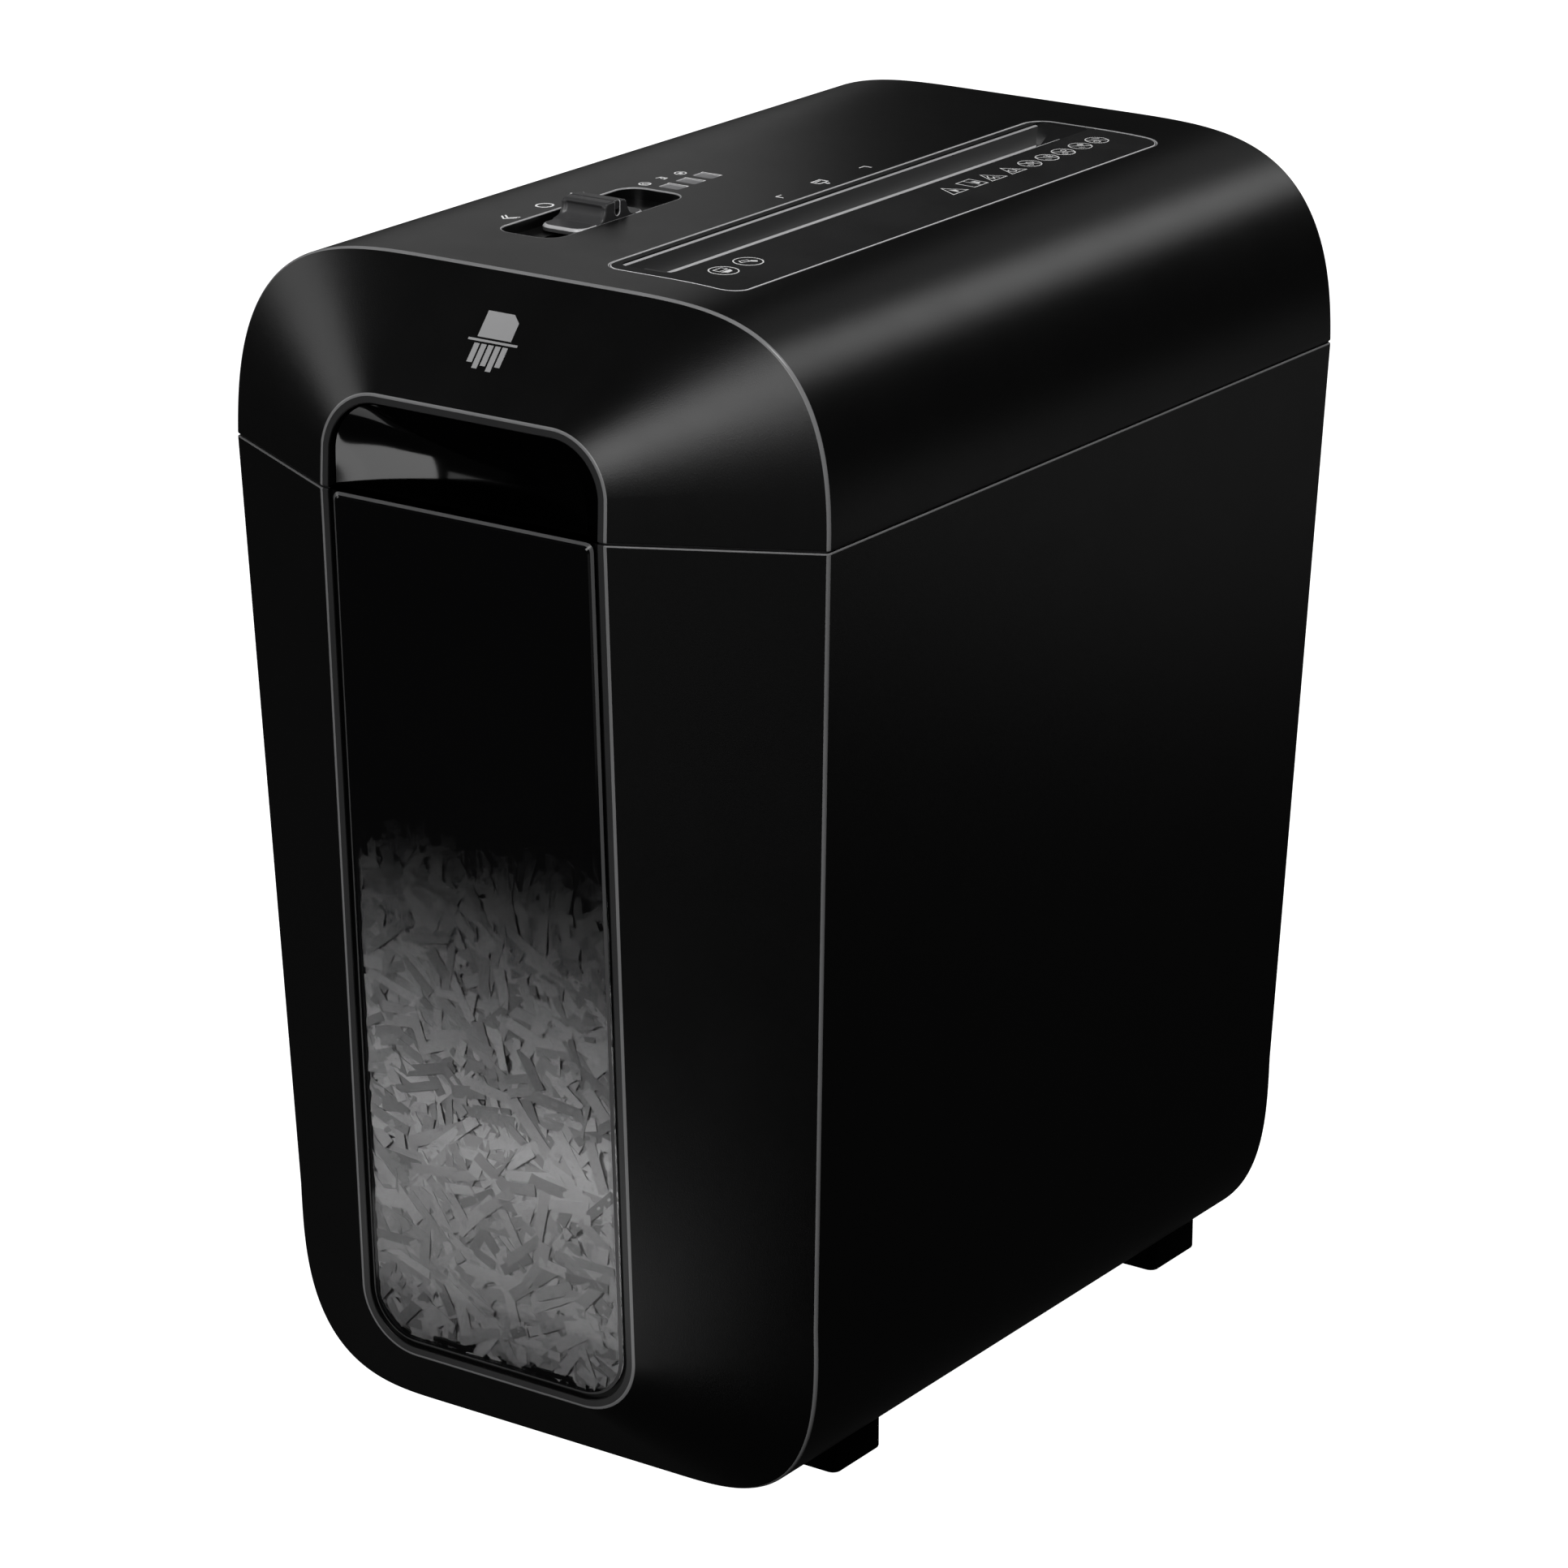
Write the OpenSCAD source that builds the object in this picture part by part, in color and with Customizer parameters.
// Cross-cut paper shredder: a motor head that rests on a free-standing waste bin.
// Frame: +X to the right seen from the front, +Y to the rear, +Z up.
// The origin is on the floor, under the centre of the outer box.
// Every sub-part is drawn in the seam frame: its origin is on the centreline, at the front
// edge of the side walls, at the height of the seam between the head and the bin.

/* [Body] */
// Width across the side walls at the seam
body_w = 230; // [226:1:236]
// Depth of the side walls at the seam
body_d = 301; // [298:1:306]
// Height of the bin from its underside to the seam
bin_h = 326.5; // [310:0.5:350]
// Height of the head above the seam
head_h = 69.6; // [68:0.2:74]
// Height of the feet under the bin
foot_h = 9.5; // [6:0.5:14]
// How far the front stands out ahead of the side walls
bulge = 31.6; // [28:0.2:36]
// Wall thickness of the two casings
wall = 2.8; // [2.2:0.1:3.4]
// Height of the shadow gap between head and bin
seam_gap = 0.6; // [0.4:0.1:1.2]

/* [Front window] */
// Half width of the flat land that frames the window
land_half_w = 54.8; // [52:0.2:58]
// Width of the flat land
land_w = 3; // [2:0.2:4]
// Height of the land below the seam
window_h = 294.2; // [280:0.2:300]
// Height of the land above the seam, round the finger recess
recess_h = 32.7; // [30:0.1:36]
// Corner radius of the land
land_r = 21; // [16:0.5:24]
// Gap round the window panel
panel_gap = 1.5; // [1:0.1:2]
// How far the window panel stands proud of the land
panel_proud = 0.8; // [0.4:0.1:1.2]
// Width of the bevel round the window panel
panel_bevel = 1.7; // [1:0.1:2.4]
// Depth of the finger recess behind the land
scoop_depth = 17; // [12:0.5:18]

/* [Paper throat] */
// Centre of the paper slot across the body
throat_x = 30; // [29:0.5:31]
// Clear width of the paper slot
slot_w = 5.6; // [4.6:0.2:6.4]
// Near end of the paper slot
slot_near = 28.5; // [28:0.5:32]
// Length of the paper slot
slot_len = 222; // [218:1:224]
// Depth of the paper slot's mouth below the top
mouth_depth = 3.6; // [3:0.2:4.4]

/* [Cutters] */
// Outer radius of the cutting discs
disc_r = 17; // [16.6:0.1:17.2]
// Distance between the two cutter shafts
shaft_gap = 30; // [30:1:30]
// Pitch of the discs along a shaft
disc_pitch = 4; // [4:0.5:4]
// Radius of the cutter shafts
shaft_r = 6; // [5:0.5:6]
// Running clearance of the shafts in their bushes
bush_play = 0.05; // [0.02:0.01:0.09]

/* [Controls] */
// Travel of the control switch each way from off
knob_travel = 16.5; // [12:0.5:16.5]
// Press travel of the lock tab
lock_travel = 1; // [0.6:0.1:1.2]

/* [Hidden] */

$fn = 48;

seam_z = foot_h + bin_h;
front_y = -(body_d - bulge - panel_proud) / 2;
half_w = body_w / 2;

// Slopes of the walls, as sideways run for each unit of height
head_lean = 0.03;
bin_side_lean = 0.0385;
bin_front_lean = 0.0328;
bin_back_lean = 0.0366;
head_land_lean = 0.05;
bin_land_lean = 0.039;
front_wall_shift = 0.6;
land_wall = 6.5;

// Arch of the head: half width of its flat top and the two powers of its curve
arch_flat = 24.8;
arch_x_power = 0.5;
arch_z_power = 0.8;
arch_steps = 16;
// Angle over which the land's straight side meets the foot of the arch
arch_foot_angle = 12;

// Bottom corners of the bin
corner_w = 55.3;
corner_h = 66.8;
corner_power = 2 / 3;
corner_steps = 12;
side_steps = 3;

// Outline of the label panel on top of the head, near corner to far corner
label_x0 = 14.7;
label_x1 = 65.5;
label_y0 = 21.8;
label_y1 = 269.8;
label_r = 7;
label_thick = 1.3;
throat_x0 = 17.8;
throat_x1 = 37;
throat_y0 = 27;
throat_y1 = 268.8;
slot_far = slot_near + slot_len;
slot_x0 = throat_x - slot_w / 2;
slot_x1 = throat_x + slot_w / 2;
mouth_z = head_h - mouth_depth;

// Switch recess and its control knob
recess_x0 = -41.5;
recess_x1 = -17.5;
recess_y0 = 40.3;
recess_y1 = 112.7;
recess_r = 7;
recess_floor = head_h - 4;
floor_thick = 3;
knob_x = -29.7;
knob_y = 77.3;
knob_w = 18;
knob_l = 36;
knob_corner_r = 5;
knob_z = recess_floor + 0.3;
stem_w = 3;
stem_l = 12;
led_x = -29;
led_y = 119.7;
led_pitch = 9.4;
led_size = [7, 4.4];

// Shafts, gears and motor. Gear planes run from the rear frame plate to the rear wall.
shaft_z = 30;
shaft_left = throat_x - shaft_gap / 2;
shaft_right = throat_x + shaft_gap / 2;
disc_w = 1.9;
spacer_r = 12.5;
disc_count = 56;
disc_y0 = 32;
shaft_y0 = 18;
left_shaft_y1 = 294;
right_shaft_y1 = 272.5;
plate_t = 2.5;
front_plate_y = 24;
rear_plate_y = 262;
support_plate_y = 292;
bush_r = 8;
bush_flange_r = 10;
rod_r = 3;
rod_places = [[-9, 14], [-5, 43], [69, 14], [65, 43]];
first_plane = [266, 6];
second_plane = [274, 6];
third_plane = [282, 8];
pressure_angle = 25;
tooth_play = 0.08;
sync_teeth = 20;
sync_module = shaft_gap / sync_teeth;
drive_teeth = 28;
drive_module = 1.5;
third_pinion_teeth = 14;
second_teeth = 36;
second_module = 1.25;
second_pinion_teeth = 12;
first_teeth = 46;
first_module = 1;
motor_teeth = 10;
second_axis_angle = 170;
first_axis_angle = 180;
motor_axis_angle = 190;
second_axis = polar([shaft_left, shaft_z], drive_module * (drive_teeth + third_pinion_teeth) / 2,
    second_axis_angle);
first_axis = polar(second_axis, second_module * (second_teeth + second_pinion_teeth) / 2,
    first_axis_angle);
motor_axis = polar(first_axis, first_module * (first_teeth + motor_teeth) / 2, motor_axis_angle);
idler_pin_r = 3;
idler_play = 0.06;
motor_r = 25;
motor_y0 = 160;
motor_y1 = 258;
motor_shaft_r = 2.5;

// Feet: distance from the centreline, spans from front to rear, and their screws
foot_x = 68;
foot_spans = [[56, 83.6], [255.6, 284.5]];
foot_screw_y = [69.8, 270];

// Paper sensor lever and interlock plunger
sensor_y = 150;
sensor_pivot = [20.5, 58];
sensor_pin_r = 1.2;
plunger_at = [92, 230];
plunger_r = 3;
rim_drop = 6;
tray_top = 3.4;
// Depth of the shreds' top below the seam
pile_drop = 125;
// Depth at which the pile starts to follow the rounded foot of the bin
pile_low = 285;
// Width of the ledge behind the window panel's edge, and the depth of its face behind the land
ledge_w = 1.1;
panel_back = 1.8;
// Hooks of the window's clips behind the wall
clip_front = land_wall + 0.2;
clip_back = 8.2;

// Top of the power board
board_z = 42.6;

// Cord inlet at the rear, and the screws that hold the tray and the cutter frame
gland_at = [-78, 20];
gland_bore_r = 3.6;
motor_screw_r = 1.5;
motor_screw_ring = 18;
tray_bosses = [for (x = [-96, 96]) for (y = [18, 136, 286]) [x, y]];
frame_feet = [for (x = [-10, 70]) for (y = [front_plate_y - 5, rear_plate_y + plate_t + 5]) [x, y]];

// ---------- Functions ----------

// Point at a distance and angle from another, in the plane seen from the front
function polar(from, distance, angle) = from + distance * [cos(angle), sin(angle)];

// Direction of a curve's tangent, as the angle of its normal above the horizontal
function normal_angle(run, rise) = atan2(run, rise);

function mirror_loop(half) = concat(half, [for (i = [len(half) - 1:-1:0]) [-half[i][0], half[i][1]]]);

// Outer edge of the head, from the right foot of the arch to the left one
function arch_half(inset, drop) = [for (i = [0:arch_steps])
    let (t = 90 * i / arch_steps)
    [arch_flat + (half_w - inset - arch_flat) * pow(cos(t), arch_x_power),
        i == 0 ? drop : (head_h - inset) * pow(sin(t), arch_z_power)]];

// Outline of the land in step with the arch, so that the front is ruled between the two
function arch_land_half(inset, drop) = [for (i = [0:arch_steps])
    let (t = 90 * i / arch_steps)
    let (run = (half_w - arch_flat) * arch_x_power * sin(t) / sqrt(max(cos(t), 0.0001)))
    let (rise = head_h * arch_z_power * cos(t) / pow(max(sin(t), 0.001), 0.2))
    let (a = i == arch_steps ? 90 : normal_angle(run, rise))
    let (foot = (recess_h - land_r) * min(1, t / arch_foot_angle))
    [land_half_w - inset - land_r + land_r * cos(a),
        i == 0 ? drop : foot + (land_r - inset * sin(a)) * sin(a)]];

// Outer edge of the bin, from the seam on the right, under the bin, to the seam on the left
function bin_half(inset, rise, top = 0) = concat(
    [for (i = [0:side_steps - 1])
        let (z = top + (bin_h - corner_h - top) * i / side_steps)
        [half_w - inset - bin_side_lean * z, i == 0 ? rise : -z]],
    [for (i = [0:corner_steps])
        let (t = 90 * i / corner_steps)
        let (x0 = half_w - bin_side_lean * (bin_h - corner_h) - corner_w)
        [x0 + (corner_w - inset) * pow(max(cos(t), 0), corner_power),
            -(bin_h - corner_h) - (corner_h - inset) * pow(sin(t), corner_power)]]);

function bin_land_half(inset, rise, top = 0) = concat(
    [for (i = [0:side_steps - 1])
        let (z = top + (window_h - land_r - top) * i / side_steps)
        [land_half_w - inset, i == 0 ? rise : -z]],
    [for (i = [0:corner_steps])
        let (t = 90 * i / corner_steps)
        [land_half_w - land_r + (land_r - inset) * cos(t),
            -(window_h - land_r) - (land_r - inset) * sin(t)]]);

function involute(rb, r) = r <= rb ? 0 : sqrt(pow(r / rb, 2) - 1) * 180 / PI - acos(rb / r);

// Spur gear outline with its first tooth on the x axis
function gear_points(m, teeth) =
    let (rp = m * teeth / 2)
    let (rb = rp * cos(pressure_angle))
    let (root = rp - 1.1 * m)
    let (tip = rp + 0.8 * m)
    let (low = max(rb, root + 0.05))
    let (radii = [root, low, (low + tip) / 2, tip])
    let (half_tooth = 90 / teeth - tooth_play / rp * 180 / PI + involute(rb, rp))
    [for (i = [0:teeth - 1]) for (side = [-1, 1]) for (k = [0:3])
        let (r = side < 0 ? radii[k] : radii[3 - k])
        let (a = 360 * i / teeth + side * (half_tooth - involute(rb, r)))
        r * [cos(a), sin(a)]];

// Turn of a gear that meshes with one turned by turn1, seen from it at angle towards
function mesh_turn(turn1, teeth1, teeth2, towards) =
    towards + 180 - (0.5 - (towards - turn1) * teeth1 / 360) * 360 / teeth2;

// ---------- Shared shapes ----------

module at_seam() {
    translate([0, front_y, seam_z]) children();
}

// Extrude an outline of (x, z) from y0 for a length towards the rear
module along_y(y0, length) {
    translate([0, y0 + length, 0]) rotate([90, 0, 0]) linear_extrude(height = length) children();
}

module rod(at, y0, length, r) {
    along_y(y0, length) translate(at) circle(r = r);
}

module block(low, high) {
    translate(low) cube(high - low);
}

module rounded_rect(x0, y0, x1, y1, r) {
    for (x = [x0 + r, x1 - r]) for (y = [y0 + r, y1 - r]) translate([x, y]) circle(r = r);
    translate([x0 + r, y0]) square([x1 - x0 - 2 * r, y1 - y0]);
    translate([x0, y0 + r]) square([x1 - x0, y1 - y0 - 2 * r]);
}

// Solid between three open loops: the land, the outer edge at the front and the back edge
module casing(land, edge, land_y, edge_y, back_y) {
    n = len(edge);
    points = concat([for (p = land) [p[0], land_y(p[1]), p[1]]],
        [for (p = edge) [p[0], edge_y(p[1]), p[1]]],
        [for (p = edge) [p[0], back_y(p[1]), p[1]]]);
    up = edge[1][1] > edge[0][1];
    front = [for (i = [0:n - 1]) i];
    back = [for (i = [n - 1:-1:0]) 2 * n + i];
    seam = [0, n - 1, 2 * n - 1, 3 * n - 1, 2 * n, n];
    skins = [for (row = [0, 1]) for (i = [0:n - 2])
        [row * n + i, (row + 1) * n + i, (row + 1) * n + i + 1, row * n + i + 1]];
    rings = concat([front, back, seam], skins);
    polyhedron(points, up ? [for (f = rings) [for (k = [len(f) - 1:-1:0]) f[k]]] : rings, convexity = 6);
}

// Head casing as a full solid, its walls moved in by inset and its foot dropped below the seam
module head_solid(inset = 0, land_inset = 0, drop = 0) {
    shift = inset * front_wall_shift;
    casing(mirror_loop(arch_land_half(land_inset > 0 ? inset * 0.7 : 0, drop)),
        mirror_loop(arch_half(inset, drop)),
        function(z) -bulge + head_land_lean * max(z, 0) + land_inset,
        function(z) head_lean * max(z, 0) + shift,
        function(z) body_d - head_lean * max(z, 0) - inset);
}

module bin_solid(inset = 0, land_inset = 0, rise = 0, top = 0) {
    shift = inset * front_wall_shift;
    casing(mirror_loop(bin_land_half(land_inset > 0 ? inset * 0.7 : 0, rise, top)),
        mirror_loop(bin_half(inset, rise, top)),
        function(z) -bulge - bin_land_lean * min(z, 0) + land_inset,
        function(z) -bin_front_lean * min(z, 0) + shift,
        function(z) body_d + bin_back_lean * min(z, 0) - inset);
}

// Outline of the casing at the seam, (x, y), its walls moved in by inset
module seam_outline(inset, land_inset) {
    edge_x = half_w - inset;
    land_x = land_half_w - inset * 0.7;
    front = inset * front_wall_shift;
    land_y = land_inset - bulge;
    polygon([[-edge_x, front], [-land_x, land_y], [land_x, land_y], [edge_x, front],
        [edge_x, body_d - inset], [-edge_x, body_d - inset]]);
}

// Frame whose y = 0 plane is the flat land on the bin
module on_bin_land() {
    translate([0, -bulge, 0]) rotate([atan(bin_land_lean), 0, 0]) children();
}

// Window outline of (x, z), moved in from the land's outer edge
module window_outline(inset, top) {
    r = land_r - inset;
    for (side = [-1, 1]) translate([side * (land_half_w - land_r), -(window_h - land_r)]) circle(r = r);
    translate([-(land_half_w - land_r), -window_h + inset])
        square([2 * (land_half_w - land_r), land_r]);
    translate([-(land_half_w - inset), -(window_h - land_r)])
        square([2 * (land_half_w - inset), window_h - land_r + top]);
}

// Finger recess outline of (x, z), moved in from the land's outer edge
module recess_outline(inset, top_inset, foot) {
    r = land_r - inset;
    top = recess_h - top_inset;
    flat = land_half_w - land_r;
    for (side = [-1, 1]) intersection() {
        translate([side * flat, top - r]) circle(r = r);
        translate([side * flat - r, foot]) square([2 * r, top - foot]);
    }
    translate([-flat, foot]) square([2 * flat, top - foot]);
    translate([-(land_half_w - inset), foot]) square([2 * (land_half_w - inset), top - r - foot]);
}

module gear(m, teeth, at, plane, turn, bore) {
    along_y(plane[0], plane[1]) translate(at) difference() {
        rotate(turn) polygon(gear_points(m, teeth));
        circle(r = bore);
    }
}

// Pan-head screw along +Z, its head at the bottom
module screw(at, head_r, thread_r, length) {
    translate(at) {
        cylinder(r = head_r, h = 1.6);
        translate([0, 0, 1.6]) cylinder(r = thread_r, h = length);
    }
}

// ---------- Bin ----------

module bin_shell() {
    color("#1b1b1c") at_seam() difference() {
        bin_solid();
        bin_solid(inset = wall, land_inset = land_wall, rise = 2);
        on_bin_land() along_y(-4, 4 + panel_back) window_outline(land_w, 4);
        on_bin_land() along_y(-4, 20) intersection() {
            window_outline(land_w + panel_gap + ledge_w, -9);
            translate([-60, -300]) square([120, 291]);
        }
    }
}

module window_panel() {
    color("#2a2a2c") at_seam() on_bin_land() {
        hull() {
            along_y(0.9, panel_back - 0.9) window_outline(land_w + panel_gap, -0.2);
            along_y(-panel_proud, 0.2) window_outline(land_w + panel_gap + panel_bevel, -0.2);
        }
    }
}

module window_clips() {
    color("#1b1b1c") at_seam() on_bin_land() {
        for (side = [0, 1]) mirror([side, 0, 0]) {
            for (z = [-30, -100]) {
                block([47.2, panel_back, z - 6], [49, clip_back, z + 6]);
                block([49, clip_front, z - 6], [50.6, clip_back, z + 6]);
            }
            block([12, panel_back, -288.4], [28, clip_back, -286.8]);
            block([12, clip_front, -290], [28, clip_back, -288.4]);
        }
    }
}

module foot_blocks() {
    for (side = [-1, 1]) for (y = foot_spans) {
        translate([side * foot_x, 0, -bin_h - foot_h]) linear_extrude(height = foot_h + 6)
            rounded_rect(-12, y[0], 12, y[1], 3);
    }
}

module feet() {
    color("#141414") at_seam() difference() {
        foot_blocks();
        bin_solid();
        for (side = [-1, 1]) for (y = foot_screw_y) {
            translate([side * foot_x, y, -bin_h - foot_h - 1]) cylinder(r = 4.5, h = 4);
        }
    }
}

module foot_screws() {
    color("silver") at_seam() {
        for (side = [-1, 1]) for (y = foot_screw_y) {
            translate([side * foot_x, y, -bin_h - foot_h + 1.4]) cylinder(r = 3.6, h = 1.6);
        }
    }
}

module interlock_tab() {
    color("#1b1b1c") at_seam() intersection() {
        bin_solid(inset = wall, land_inset = land_wall, rise = 2);
        union() {
            block([plunger_at[0] - 5, plunger_at[1] - 5, -rim_drop - 6],
                [half_w, plunger_at[1] + 5, -rim_drop - 3]);
            block([half_w - wall - 4, plunger_at[1] - 5, -rim_drop - 30],
                [half_w, plunger_at[1] + 5, -rim_drop - 6]);
        }
    }
}

// Half outline of the pile seen from the front, from its top edge to the bottom of the bin
pile_half = [[99, -pile_drop], [99, -pile_low], [95, -298], [90, -307], [85, -312], [76, -317],
    [64, -319.5]];

module shredded_paper() {
    color("#c9c9cb") at_seam() {
        along_y(20, 262) polygon(mirror_loop(pile_half));
        translate([0, 0, -pile_low]) linear_extrude(height = pile_low - pile_drop)
            polygon([[-97, 21], [-97, 14], [-48, -9.5], [48, -9.5], [97, 14], [97, 21]]);
        on_bin_land() along_y(panel_back + 0.3, 8.1 - panel_back) intersection() {
            window_outline(land_w + 5, -140);
            translate([-60, -300]) square([120, 160]);
        }
    }
}

// ---------- Head casing ----------

module label_outline(grow) {
    rounded_rect(label_x0 - grow, label_y0 - grow, label_x1 + grow, label_y1 + grow, label_r + grow);
}

module throat_outline(grow) {
    rounded_rect(throat_x0 - grow, throat_y0 - grow, throat_x1 + grow, throat_y1 + grow, 3);
}

module led_slots(grow) {
    for (i = [0:2]) {
        translate([led_x - led_size[0] / 2 - grow, led_y + i * led_pitch - led_size[1] / 2 - grow])
            square([led_size[0] + 2 * grow, led_size[1] + 2 * grow]);
    }
}

module head_shell() {
    color("#1b1b1c") at_seam() difference() {
        union() {
            difference() {
                head_solid(drop = seam_gap);
                head_solid(inset = wall, land_inset = land_wall, drop = -1);
            }
            block([recess_x0 - 2, recess_y0 - 2, recess_floor - floor_thick],
                [recess_x1 + 2, recess_y1 + 2, head_h - wall + 0.2]);
            for (p = tray_bosses) translate([p[0], p[1], tray_top]) cylinder(r = 4, h = 46);
        }
        for (p = tray_bosses) translate([p[0], p[1], 2]) cylinder(r = 1.5, h = 12);
        translate([0, 0, head_h - 12]) linear_extrude(height = 14) throat_outline(0.3);
        difference() {
            translate([0, 0, head_h - 12]) linear_extrude(height = 14) label_outline(0.15);
            head_solid(inset = label_thick + 0.1, land_inset = 3, drop = 0);
        }
        along_y(-bulge - 2, 14) recess_outline(land_w, land_w, -2);
        translate([0, 0, recess_floor]) linear_extrude(height = 6)
            rounded_rect(recess_x0, recess_y0, recess_x1, recess_y1, recess_r);
        block([knob_x - stem_w / 2 - 0.4, knob_y - stem_l / 2 - knob_travel - 1, recess_floor - 5],
            [knob_x + stem_w / 2 + 0.4, knob_y + stem_l / 2 + knob_travel + 1, recess_floor + 1]);
        translate([0, 0, head_h - 6]) linear_extrude(height = 8) led_slots(0.1);
        rod(gland_at, body_d - 12, 20, 7.1);
        rod(gland_at, body_d - 1.4, 4, 9.1);
    }
}

module head_tray() {
    color("#202021") at_seam() difference() {
        union() {
            linear_extrude(height = seam_gap) seam_outline(0.8, 0.8);
            translate([0, 0, seam_gap / 2]) linear_extrude(height = tray_top - seam_gap / 2)
                seam_outline(wall + 0.4, land_wall + 0.4);
            translate([0, 0, -rim_drop]) linear_extrude(height = rim_drop + seam_gap / 2) difference() {
                seam_outline(wall + 1, land_wall + 1);
                seam_outline(wall + 3.4, land_wall + 3.4);
            }
        }
        block([-land_half_w + land_w, -bulge - 3, -10], [land_half_w - land_w, -12.4, 8]);
        block([shaft_left - disc_r - 1, disc_y0 - 1, -10],
            [shaft_right + disc_r + 1, disc_y0 + disc_count * disc_pitch + 1, 8]);
        translate([plunger_at[0], plunger_at[1], -10]) cylinder(r = plunger_r + 0.08, h = 20);
        for (y = [170:12:242]) {
            block([motor_axis[0] - 18, y, -10], [motor_axis[0] + 18, y + 5, 8]);
        }
        for (p = concat(tray_bosses, frame_feet)) translate([p[0], p[1], -1]) cylinder(r = 1.5, h = 6);
    }
}

module finger_scoop() {
    color("#0b0b0c") at_seam() {
        difference() {
            hull() {
                along_y(-bulge + 2.4, 0.5) recess_outline(land_w + 0.3, land_w + 0.3, seam_gap);
                along_y(-bulge + scoop_depth + 1, 1) recess_outline(land_w + 3.5, land_w + 7, seam_gap);
            }
            hull() {
                along_y(-bulge + 2, 0.5) recess_outline(land_w + 1.4, land_w + 1.4, seam_gap + 1.5);
                along_y(-bulge + scoop_depth - 0.5, 0.5)
                    recess_outline(land_w + 5.5, land_w + 9, seam_gap + 1.5);
            }
        }
    }
}

module throat_panel() {
    color("#2b2b2d") at_seam() difference() {
        intersection() {
            translate([0, 0, head_h - 12]) linear_extrude(height = 14) label_outline(0);
            difference() {
                head_solid(inset = 0.15, land_inset = 1);
                head_solid(inset = label_thick, land_inset = 3, drop = -1);
            }
        }
        translate([0, 0, head_h - 14]) linear_extrude(height = 18) throat_outline(0);
    }
}

module sensor_notch() {
    rod(sensor_pivot, sensor_y - 2.6, 5.2, 4.6);
    block([sensor_pivot[0] - 1, sensor_y - 2.6, 46], [slot_x1 + 4, sensor_y + 2.6, 61.5]);
    rod(sensor_pivot, sensor_y - 6, 12, sensor_pin_r + bush_play);
}

module throat_guide_left() {
    color("#222223") at_seam() difference() {
        intersection() {
            union() {
                along_y(throat_y0, throat_y1 - throat_y0) polygon([[throat_x0, head_h - 0.4],
                    [throat_x0 + 3, head_h - 0.7], [throat_x0 + 6, head_h - 1.7],
                    [slot_x0 - 1.2, mouth_z + 0.5], [slot_x0, mouth_z - 0.4], [slot_x0, 49],
                    [slot_x0 - 2, 48.2], [slot_x0 - 4, 50], [slot_x0 - 4, 60], [throat_x0, 64]]);
                rotate([90, 0, 90]) translate([0, 0, slot_x0 - 0.5])
                    linear_extrude(height = throat_x1 - slot_x0 + 0.5)
                    polygon([[slot_far, 49], [throat_y1, 49], [throat_y1, head_h - 0.4],
                        [throat_y1 - 3, head_h - 0.7], [slot_far, mouth_z]]);
                block([slot_x0 - 0.5, throat_y0, 49], [throat_x1, slot_near, head_h - 0.6]);
                along_y(sensor_y - 5.4, 10.8) polygon([[throat_x0, 54], [slot_x0 - 3.9, 54],
                    [slot_x0 - 3.9, 61], [throat_x0, 65]]);
            }
            translate([0, 0, 40]) linear_extrude(height = 40) throat_outline(-0.2);
        }
        sensor_notch();
    }
}

module throat_guide_right() {
    color("#222223") at_seam() difference() {
        intersection() {
            along_y(slot_near + 0.05, slot_len - 0.1) polygon([[throat_x1, head_h - 0.4],
                [throat_x1 - 1.2, head_h - 0.7], [slot_x1, mouth_z - 1], [slot_x1, 49],
                [slot_x1 + 2, 48.2], [slot_x1 + 4, 50], [throat_x1, 60]]);
            translate([0, 0, 40]) linear_extrude(height = 40) throat_outline(-0.2);
        }
        sensor_notch();
    }
}

module led_lenses() {
    color("#8a8d90") at_seam() {
        translate([0, 0, head_h - 4.4]) linear_extrude(height = 4.3) led_slots(0);
        translate([0, 0, head_h - 5.4]) linear_extrude(height = 1.2) led_slots(0.8);
    }
}

module cord_gland() {
    color("#161616") at_seam() difference() {
        union() {
            rod(gland_at, body_d - 14, 13.9, 7);
            rod(gland_at, body_d - 1.3, 1.2, 9);
            rod(gland_at, body_d - 6.6, 2, 9);
        }
        rod(gland_at, body_d - 15, 20, gland_bore_r);
    }
}

module cord_clamp() {
    color("#202021") at_seam() {
        translate([gland_at[0], 280, tray_top]) {
            for (x = [-12, 6]) block([x, 0, 0], [x + 6, 6, 9]);
            block([-12, 0, 9], [12, 6, 11.5]);
        }
    }
}

// ---------- Cutter frame ----------

module plate_outline() {
    rounded_rect(-16, tray_top, 76, 48, 5);
    translate([-16, tray_top]) square([92, 6]);
}

// Bent feet of a frame plate, each with a hole for the screw that comes up through the tray
module plate_feet(y0, y1) {
    for (p = frame_feet) if (p[1] > y0 && p[1] < y1) difference() {
        block([p[0] - 6, y0, tray_top], [p[0] + 6, y1, tray_top + plate_t]);
        translate([p[0], p[1], 2]) cylinder(r = 1.5, h = 6);
    }
}

module front_frame_plate() {
    color("#b8babd") at_seam() {
        difference() {
            along_y(front_plate_y, plate_t) plate_outline();
            for (x = [shaft_left, shaft_right]) rod([x, shaft_z], front_plate_y - 1, 6, bush_r);
            for (p = rod_places) rod(p, front_plate_y - 1, 6, rod_r);
        }
        plate_feet(front_plate_y - 10, front_plate_y);
    }
}

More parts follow.
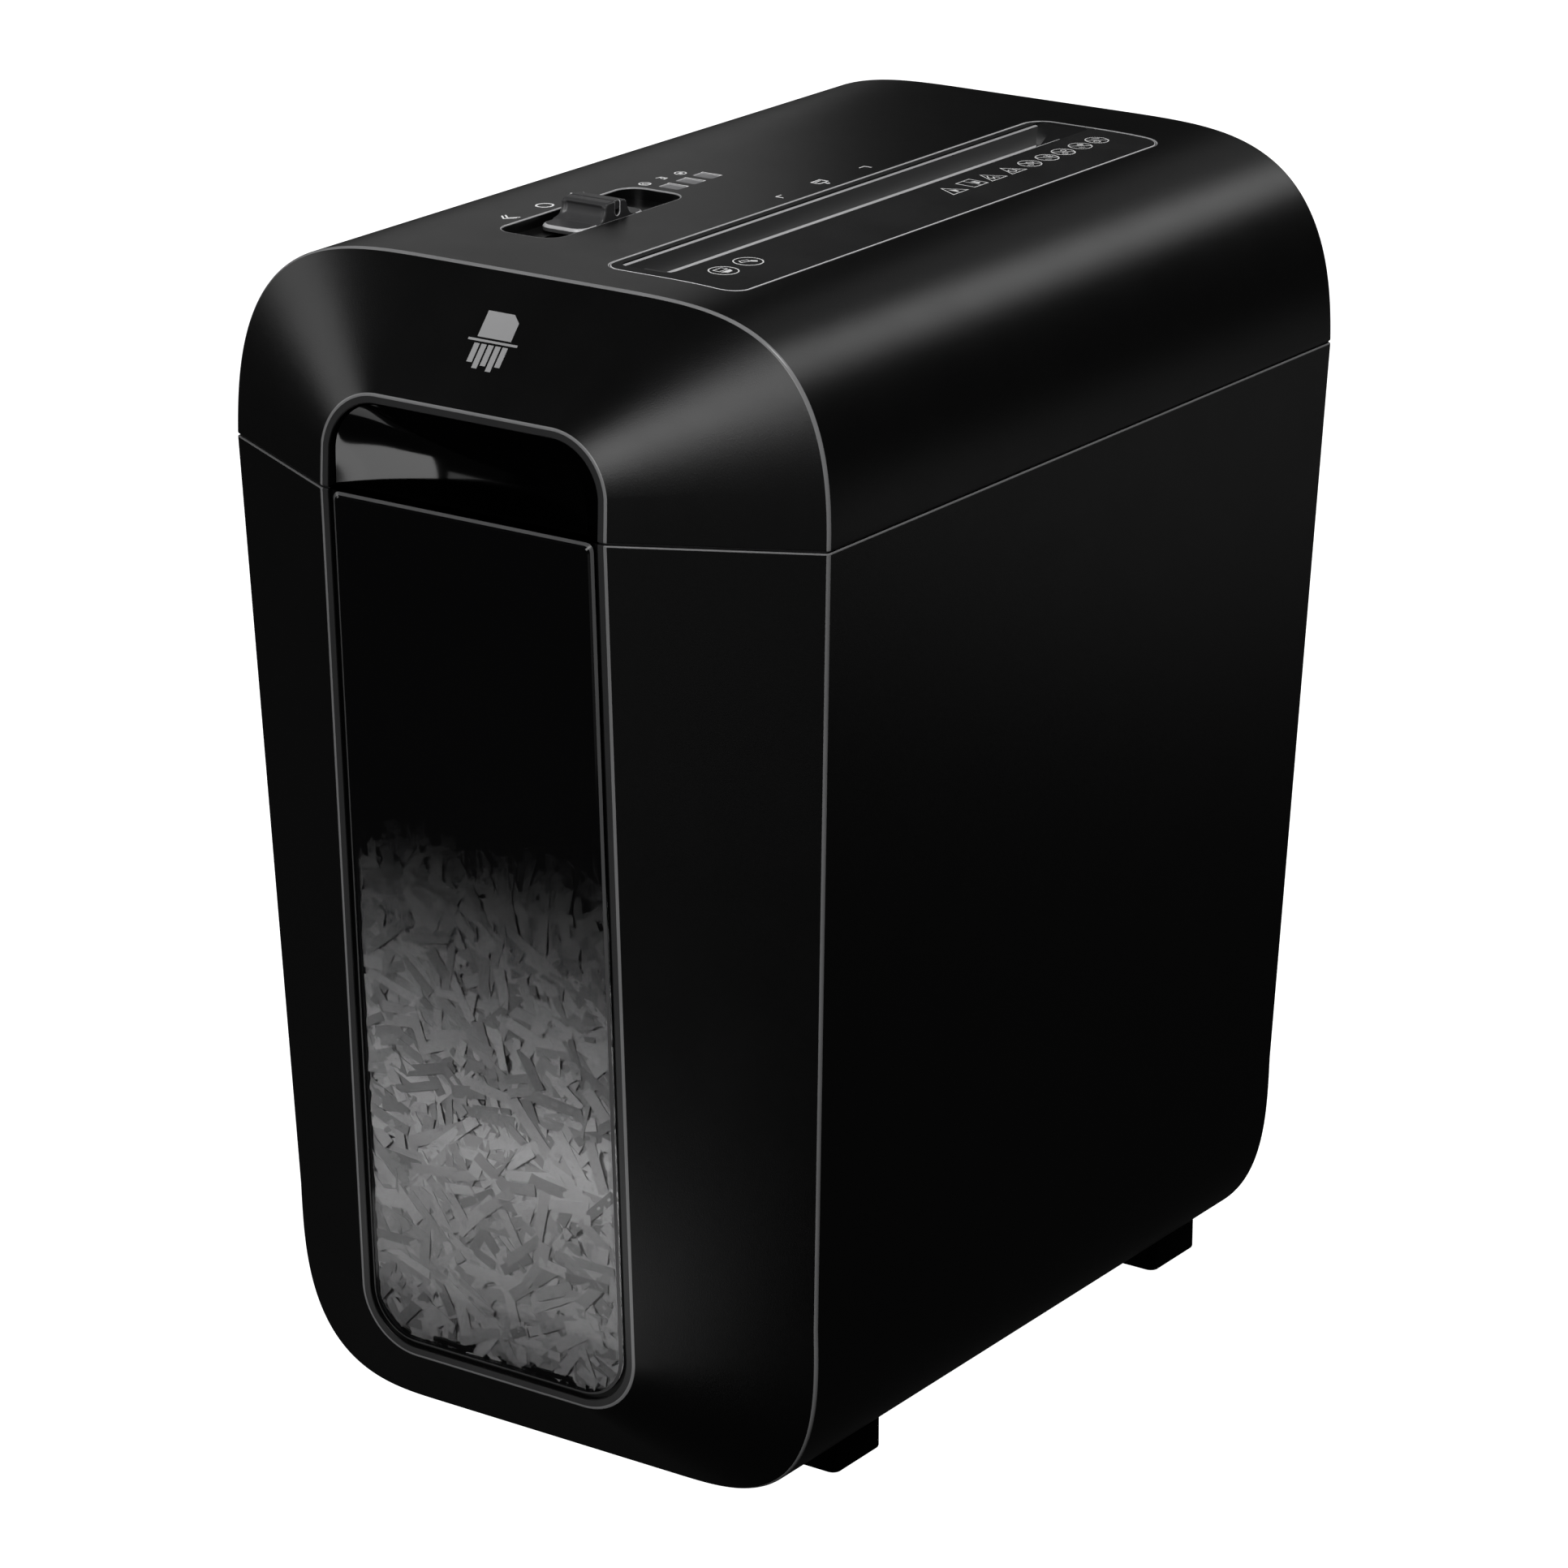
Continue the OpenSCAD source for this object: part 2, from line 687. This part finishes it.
module rear_frame_plate() {
    color("#b8babd") at_seam() {
        difference() {
            along_y(rear_plate_y, plate_t) union() {
                plate_outline();
                rounded_rect(motor_axis[0] - 22, 8, 0, 52, 6);
            }
            for (x = [shaft_left, shaft_right]) rod([x, shaft_z], rear_plate_y - 1, 6, bush_r);
            for (p = rod_places) rod(p, rear_plate_y - 1, 6, rod_r);
            for (p = [second_axis, first_axis]) rod(p, rear_plate_y - 1, 6, idler_pin_r);
            rod(motor_axis, rear_plate_y - 1, 6, 8);
            for (a = [45:90:315])
                rod(polar(motor_axis, motor_screw_ring, a), rear_plate_y - 1, 6, motor_screw_r);
        }
        plate_feet(rear_plate_y + plate_t, rear_plate_y + plate_t + 10);
    }
}

module gear_support_plate() {
    color("#b8babd") at_seam() difference() {
        along_y(support_plate_y, plate_t) rounded_rect(first_axis[0] - 14, 10, 40, 54, 5);
        rod([shaft_left, shaft_z], support_plate_y - 1, 6, bush_r);
        rod(second_axis, support_plate_y - 1, 6, idler_pin_r);
        rod(first_axis, support_plate_y - 1, 6, idler_pin_r);
    }
}

module tie_rods() {
    color("#c8cacc") at_seam() for (p = rod_places) {
        rod(p, front_plate_y - 5, rear_plate_y + plate_t - front_plate_y + 9, rod_r);
    }
}

module tie_rod_nuts() {
    color("#9a9c9f") at_seam()
    for (p = rod_places) for (y = [front_plate_y - 3, rear_plate_y + plate_t]) {
        along_y(y, 3) translate(p) difference() {
            circle(r = 5.5, $fn = 6);
            circle(r = rod_r);
        }
    }
}

module shaft_bush(at, y0) {
    difference() {
        union() {
            rod(at, y0, plate_t, bush_r);
            rod(at, y0 + plate_t, 1, bush_flange_r);
        }
        rod(at, y0 - 1, 6, shaft_r + bush_play);
    }
}

module shaft_bushes() {
    color("#b08d57") at_seam() {
        for (x = [shaft_left, shaft_right]) {
            shaft_bush([x, shaft_z], front_plate_y);
            shaft_bush([x, shaft_z], rear_plate_y - 0.001);
        }
        difference() {
            rod([shaft_left, shaft_z], support_plate_y, plate_t, bush_r);
            rod([shaft_left, shaft_z], support_plate_y - 1, 6, shaft_r + bush_play);
        }
    }
}

module idler_pins() {
    color("#c8cacc") at_seam() for (p = [second_axis, first_axis]) {
        rod(p, rear_plate_y, support_plate_y + plate_t - rear_plate_y, idler_pin_r);
    }
}

// Comb bar with a finger in every gap between the discs, up to the spacers
module stripper_comb(from_x, to_x, tip_x, offset) {
    along_y(front_plate_y + plate_t, rear_plate_y - front_plate_y - plate_t)
        polygon([[from_x, shaft_z - 4], [to_x, shaft_z - 4], [to_x, shaft_z + 4], [from_x, shaft_z + 4]]);
    for (i = [0:disc_count - 2]) {
        translate([0, disc_y0 + i * disc_pitch + offset, 0])
            block([min(to_x, tip_x), 0.2, shaft_z - 3], [max(to_x, tip_x), 1.9, shaft_z + 3]);
    }
}

module stripper_comb_left() {
    color("#3a3a3c") at_seam()
        stripper_comb(shaft_left - disc_r - 6, shaft_left - disc_r - 1,
            shaft_left - spacer_r - 0.6, disc_w);
}

module stripper_comb_right() {
    color("#3a3a3c") at_seam()
        stripper_comb(shaft_right + disc_r + 1, shaft_right + disc_r + 6,
            shaft_right + spacer_r + 0.6, disc_pitch / 2 + disc_w);
}

module motor_can() {
    color("#8f9194") at_seam() difference() {
        rod(motor_axis, motor_y0, motor_y1 - motor_y0, motor_r);
        rod(motor_axis, motor_y0 + 2, motor_y1 - motor_y0 - 4, motor_r - 2);
        rod(motor_axis, motor_y0 - 1, motor_y1 - motor_y0 + 2, motor_shaft_r + bush_play);
    }
}

module motor_end_cap() {
    color("#202021") at_seam() difference() {
        rod(motor_axis, motor_y1, rear_plate_y - motor_y1, 22);
        rod(motor_axis, motor_y1 - 1, 8, motor_shaft_r + bush_play);
        for (a = [45:90:315])
            rod(polar(motor_axis, motor_screw_ring, a), motor_y1 - 1, 8, motor_screw_r);
    }
}

module motor_screws() {
    color("silver") at_seam() for (a = [45:90:315]) {
        at = polar(motor_axis, motor_screw_ring, a);
        rod(at, motor_y1 + 0.5, rear_plate_y + plate_t - motor_y1 - 0.5, motor_screw_r);
        rod(at, rear_plate_y + plate_t, 1.2, 2.8);
    }
}

module power_board() {
    color("#2f6b3a") at_seam() block([-62, 36, board_z - 1.6], [-17, 150, board_z]);
}

module board_parts() {
    color("#303238") at_seam() {
        block([-56, 44, board_z], [-44, 66, 58]);
        block([-58, 122, board_z], [-40, 146, 56]);
        translate([-50, 80, board_z]) cylinder(r = 6, h = 15);
        translate([-50, 100, board_z]) cylinder(r = 5, h = 13);
        for (i = [0:2]) translate([led_x, led_y + i * led_pitch, board_z]) cylinder(r = 1.5, h = 20);
    }
}

module mode_switch() {
    color("#1d2a44") at_seam() difference() {
        block([knob_x - 6, knob_y - 24, board_z], [knob_x + 6, knob_y + 24, 60]);
        block([knob_x - stem_w / 2 - 0.5, knob_y - stem_l / 2 - knob_travel - 1, 52],
            [knob_x + stem_w / 2 + 0.5, knob_y + stem_l / 2 + knob_travel + 1, 62]);
    }
}

module interlock_switch() {
    color("#1d2a44") at_seam() {
        translate(plunger_at) {
            block([-4, -12, 13], [4, 10, 24]);
            block([-4, -12, tray_top], [4, -8, 13]);
        }
    }
}

module thermal_cutout() {
    color("#c9c2a8") at_seam()
        block([motor_axis[0] - 6, 200, motor_axis[1] + motor_r],
            [motor_axis[0] + 6, 222, motor_axis[1] + motor_r + 5]);
}

module tray_screws() {
    color("silver") at_seam() for (p = tray_bosses) screw([p[0], p[1], -1.6], 3.4, 1.5, 10);
}

module frame_screws() {
    color("silver") at_seam() for (p = frame_feet) screw([p[0], p[1], -1.6], 3, 1.5, 7.5);
}

// ---------- Moving parts of the drive ----------

// Cutter cylinder in one piece: shaft, spacers and discs, turned about its axis
module cutter(x, y_off, y_end) {
    translate([x, 0, shaft_z]) rotate([-90, 0, 0]) {
        translate([0, 0, shaft_y0]) cylinder(r = shaft_r, h = y_end - shaft_y0);
        translate([0, 0, disc_y0 - disc_w])
            cylinder(r = spacer_r, h = disc_count * disc_pitch + 2 * disc_w);
        for (i = [0:disc_count - 1]) {
            translate([0, 0, disc_y0 + y_off + i * disc_pitch]) cylinder(r = disc_r, h = disc_w);
        }
    }
}

module cutter_left() {
    color("#9b9da0") at_seam() cutter(shaft_left, 0, left_shaft_y1);
}

module cutter_right() {
    color("#9b9da0") at_seam() cutter(shaft_right, disc_pitch / 2, right_shaft_y1);
}

module sync_gear_left() {
    color("#7d7f82") at_seam()
        gear(sync_module, sync_teeth, [shaft_left, shaft_z], first_plane, 0, shaft_r);
}

module sync_gear_right() {
    color("#7d7f82") at_seam() gear(sync_module, sync_teeth, [shaft_right, shaft_z], first_plane,
        mesh_turn(0, sync_teeth, sync_teeth, 0), shaft_r);
}

module drive_gear() {
    color("#d8d4c8") at_seam()
        gear(drive_module, drive_teeth, [shaft_left, shaft_z], third_plane, 0, shaft_r);
}

module second_reduction_gear() {
    hub_y = rear_plate_y + plate_t + 0.3;
    color("#d8d4c8") at_seam() {
        gear(second_module, second_teeth, second_axis, second_plane, 0, idler_pin_r + idler_play);
        gear(drive_module, third_pinion_teeth, second_axis, third_plane,
            mesh_turn(0, drive_teeth, third_pinion_teeth, second_axis_angle), idler_pin_r + idler_play);
        difference() {
            rod(second_axis, hub_y, third_plane[0] - hub_y, 5);
            rod(second_axis, rear_plate_y, 40, idler_pin_r + idler_play);
        }
    }
}

module first_reduction_gear() {
    color("#d8d4c8") at_seam() {
        gear(first_module, first_teeth, first_axis, first_plane, 0, idler_pin_r + idler_play);
        gear(second_module, second_pinion_teeth, first_axis, second_plane,
            mesh_turn(0, second_teeth, second_pinion_teeth, first_axis_angle), idler_pin_r + idler_play);
        difference() {
            rod(first_axis, first_plane[0], support_plate_y - first_plane[0] - 0.5, 5);
            rod(first_axis, rear_plate_y, 40, idler_pin_r + idler_play);
        }
    }
}

module motor_armature() {
    color("#a5673f") at_seam() {
        rod(motor_axis, motor_y0 - 6, first_plane[0] + first_plane[1] - motor_y0 + 6, motor_shaft_r);
        rod(motor_axis, motor_y0 + 14, motor_y1 - motor_y0 - 28, 18);
    }
}

module motor_pinion() {
    color("#b08d57") at_seam() gear(first_module, motor_teeth, motor_axis, first_plane,
        mesh_turn(0, first_teeth, motor_teeth, motor_axis_angle), motor_shaft_r);
}

module cooling_fan() {
    color("#303238") at_seam() {
        difference() {
            rod(motor_axis, motor_y0 - 8, 5, 5);
            rod(motor_axis, motor_y0 - 9, 8, motor_shaft_r);
        }
        for (a = [0:45:315]) along_y(motor_y0 - 8, 5) translate(motor_axis) rotate(a)
            translate([4.5, -0.6]) square([16, 1.2]);
    }
}

// ---------- Levers, buttons and the control knob ----------

module paper_sensor_lever() {
    color("#e4e4e4") at_seam() {
        rod(sensor_pivot, sensor_y - 2.2, 4.4, 2.4);
        rod(sensor_pivot, sensor_y - 5.4, 10.8, sensor_pin_r);
        along_y(sensor_y - 1.5, 3) polygon([sensor_pivot + [0, -1.6], sensor_pivot + [slot_x1 - 18, 0.6],
            sensor_pivot + [slot_x1 - 18, 1.8], sensor_pivot + [0, 2]]);
    }
}

// Side profile of the knob: a low sliding plate with a waisted finger ridge
module knob_profile() {
    polygon([[-knob_l / 2, 0], [knob_l / 2, 0], [knob_l / 2, 2.2], [11, 2.6], [8.4, 3.4], [7, 5],
        [6.2, 7.4], [4.8, 8.2], [-3.6, 8.2], [-4.8, 7.4], [-5.2, 5.2], [-6.4, 3.4], [-8.6, 2.6],
        [-knob_l / 2, 2.2]]);
}

module control_knob() {
    color("#1b1b1c") at_seam() {
        translate([knob_x, knob_y, knob_z]) intersection() {
            difference() {
                rotate([90, 0, 90]) translate([0, 0, -knob_w / 2])
                    linear_extrude(height = knob_w) knob_profile();
                block([-knob_w / 2 - 1, -0.05, 3.4], [knob_w / 2 + 1, 2.45, 9]);
            }
            translate([0, 0, -1]) linear_extrude(height = 12)
                rounded_rect(-knob_w / 2, -knob_l / 2, knob_w / 2, knob_l / 2, knob_corner_r);
        }
        translate([knob_x, knob_y, 0])
            block([-stem_w / 2, -stem_l / 2, 53], [stem_w / 2, stem_l / 2, knob_z]);
    }
}

module lock_tab() {
    color("#232324") at_seam() translate([knob_x, knob_y, knob_z])
        block([-knob_w / 2 + 0.1, 0, 3.6 + lock_travel], [knob_w / 2 - 0.1, 2.4, 8.5]);
}

module interlock_plunger() {
    color("#b9202a") at_seam() translate([plunger_at[0], plunger_at[1], -rim_drop - 3])
        cylinder(r = plunger_r, h = 19.6);
}

bin_shell();
window_panel();
window_clips();
feet();
foot_screws();
interlock_tab();
shredded_paper();
head_shell();
head_tray();
finger_scoop();
throat_panel();
throat_guide_left();
throat_guide_right();
led_lenses();
cord_gland();
cord_clamp();
front_frame_plate();
rear_frame_plate();
gear_support_plate();
tie_rods();
tie_rod_nuts();
shaft_bushes();
idler_pins();
stripper_comb_left();
stripper_comb_right();
motor_can();
motor_end_cap();
motor_screws();
power_board();
board_parts();
mode_switch();
interlock_switch();
thermal_cutout();
tray_screws();
frame_screws();
cutter_left();
sync_gear_left();
drive_gear();
cutter_right();
sync_gear_right();
second_reduction_gear();
first_reduction_gear();
motor_armature();
motor_pinion();
cooling_fan();
paper_sensor_lever();
control_knob();
lock_tab();
interlock_plunger();
